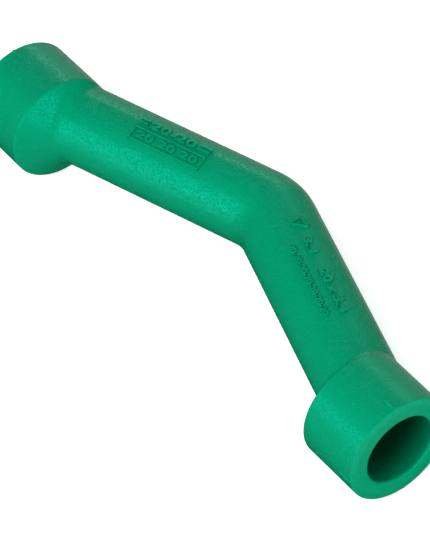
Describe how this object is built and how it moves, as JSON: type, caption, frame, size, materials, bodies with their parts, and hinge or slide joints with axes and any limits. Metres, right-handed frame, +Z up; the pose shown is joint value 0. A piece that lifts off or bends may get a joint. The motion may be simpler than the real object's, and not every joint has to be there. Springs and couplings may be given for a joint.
{
  "type": "pipe crossover fitting",
  "caption": "Moulded pipe bridge with a socket at each end and a hollow angled span between them, for passing over another pipe.",
  "frame": {"origin": "on the surface it lies on, below the middle of its length and width", "axes": "+X along the run from the far socket to the near one, +Y from the run towards the crown of the bridge, +Z up"},
  "size_m": [0.163, 0.0478, 0.0301],
  "materials": {
    "moulding": "green polypropylene, finely spark-eroded mould texture with a soft sheen"
  },
  "bodies": {
    "root": {"crossover_body": "moulding"}
  },
  "joints": []
}
